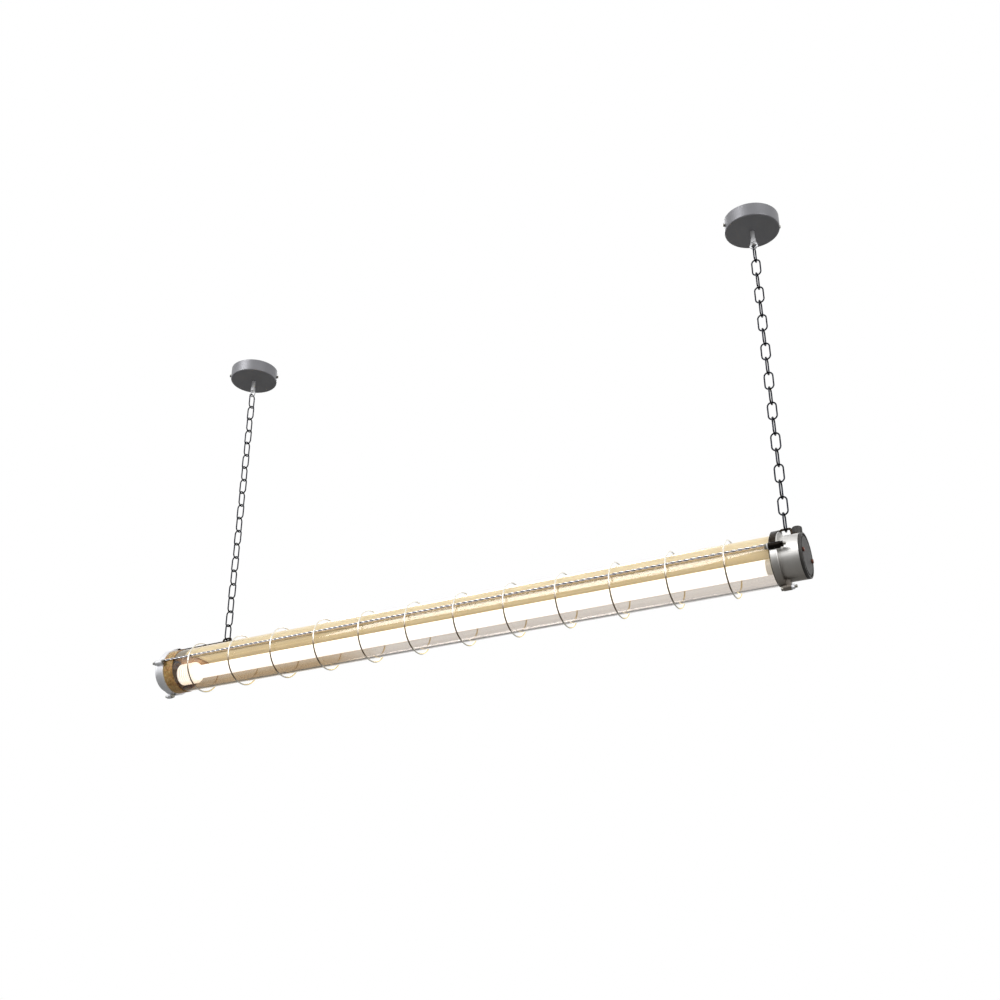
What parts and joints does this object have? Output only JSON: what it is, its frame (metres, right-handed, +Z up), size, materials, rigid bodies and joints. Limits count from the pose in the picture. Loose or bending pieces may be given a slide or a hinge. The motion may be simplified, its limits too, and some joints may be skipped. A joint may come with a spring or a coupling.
{
  "type": "linear pendant light",
  "caption": "Sealed tubular lamp in a wire guard, hung level on two chains from two round ceiling cups; the lit tube and gear tray draw out at one end.",
  "frame": {"origin": "on the ceiling plane, midway between the two cups", "axes": "+X along the lamp towards the end with the lid and the gland, +Z up, -Y the side the picture shows"},
  "size_m": [1.338, 0.1064, 0.7357],
  "materials": {
    "canopy_paint": "light grey satin lacquer",
    "zinc_steel": "zinc plated",
    "chrome_steel": "polished",
    "chain_steel": "black oxide",
    "clear_glass": "clear",
    "guard_steel": "bright wire",
    "satin_aluminium": "satin turned",
    "dark_casting": "dark grey satin",
    "hanger_steel": "dark bronze",
    "black_rubber": "matt",
    "amber_silicone": "soft",
    "screw_steel": "plain",
    "lid_screw_brass": "dull reddish",
    "tray_gold": "warm metallic lacquer",
    "block_brown": "dark brown",
    "holder_white": "white",
    "lit_diffuser": "opal, lit",
    "driver_case": "white",
    "wire_cover": "plain",
    "pin_brass": "plain"
  },
  "bodies": {
    "ceiling_parts": {"left_canopy": "canopy_paint", "left_ceiling_strap": "zinc_steel", "left_canopy_screws": "screw_steel", "left_stem": "chrome_steel", "left_stem_nuts": "zinc_steel", "left_chain_eye": "chrome_steel", "right_canopy": "canopy_paint", "right_ceiling_strap": "zinc_steel", "right_canopy_screws": "screw_steel", "right_stem": "chrome_steel", "right_stem_nuts": "zinc_steel", "right_chain_eye": "chrome_steel"},
    "left_top_link": {"left_top_link": "chain_steel"},
    "left_chain": {"left_chain_links": "chain_steel"},
    "lamp": {"glass_tube": "clear_glass", "reflector_film": "tray_gold", "guard_rings": "guard_steel", "guard_rail_back": "guard_steel", "guard_rail_front": "guard_steel", "right_clamp_ring": "satin_aluminium", "right_lip_seal": "black_rubber", "right_face_seal": "black_rubber", "right_end_body": "satin_aluminium", "right_clamp_bolts": "screw_steel", "right_clamp_nuts": "chrome_steel", "left_end_cap": "satin_aluminium", "left_sleeve_seal": "amber_silicone", "left_clamp_bolts": "screw_steel", "left_clamp_nuts": "chrome_steel", "left_tray_pin": "screw_steel", "right_hanger": "hanger_steel", "right_hanger_screws": "screw_steel", "left_hanger_arm": "hanger_steel", "left_hanger_screw": "screw_steel", "gland_body": "dark_casting", "gland_nut": "dark_casting", "gland_seal": "black_rubber"},
    "right_top_link": {"right_top_link": "chain_steel"},
    "right_chain": {"right_chain_links": "chain_steel"},
    "gear_tray": {"lid": "dark_casting", "lid_seal": "black_rubber", "lid_screws": "lid_screw_brass", "lid_struts": "zinc_steel", "tray_cover": "tray_gold", "reflector": "tray_gold", "left_tray_block": "block_brown", "right_tray_block": "block_brown", "left_holder_bracket": "zinc_steel", "right_holder_bracket": "zinc_steel", "left_lampholder": "holder_white", "right_lampholder": "holder_white", "left_holder_collar": "holder_white", "led_driver": "driver_case", "driver_screws": "screw_steel", "terminal_block": "holder_white", "tray_wires": "wire_cover"},
    "light_tube": {"light_tube": "lit_diffuser", "left_tube_cap": "holder_white", "right_tube_cap": "holder_white", "tube_pins": "pin_brass"}
  },
  "joints": [
    {"name": "sway", "type": "hinge", "parent": "ceiling_parts", "child": "left_top_link", "pos_m": [-0.57, 0, -0.0644], "axis": [1, 0, 0], "range_deg": [-25, 25]},
    {"name": "swing", "type": "hinge", "parent": "left_top_link", "child": "left_chain", "pos_m": [-0.57, 0, -0.0939], "axis": [0, 1, 0], "range_deg": [-20, 20]},
    {"name": "lamp_level", "type": "hinge", "parent": "left_chain", "child": "lamp", "pos_m": [-0.57, 0, -0.6339], "axis": [0, 1, 0], "range_deg": [-20, 20]},
    {"name": "right_sway", "type": "hinge", "parent": "ceiling_parts", "child": "right_top_link", "pos_m": [0.57, 0, -0.0644], "axis": [1, 0, 0], "range_deg": [-25, 25]},
    {"name": "right_swing", "type": "hinge", "parent": "right_top_link", "child": "right_chain", "pos_m": [0.57, 0, -0.0939], "axis": [0, 1, 0], "range_deg": [-20, 20]},
    {"name": "tray_slide", "type": "slide", "parent": "lamp", "child": "gear_tray", "axis": [1, 0, 0], "range_m": [0, 1.3]},
    {"name": "tube_turn", "type": "hinge", "parent": "gear_tray", "child": "light_tube", "pos_m": [0, 0, -0.6902], "axis": [1, 0, 0], "range_deg": [0, 90]}
  ],
  "couplings": [
    {"joint": "lamp_level", "follows": "swing", "ratio": -1},
    {"joint": "right_sway", "follows": "sway", "ratio": 1},
    {"joint": "right_swing", "follows": "swing", "ratio": 1}
  ]
}
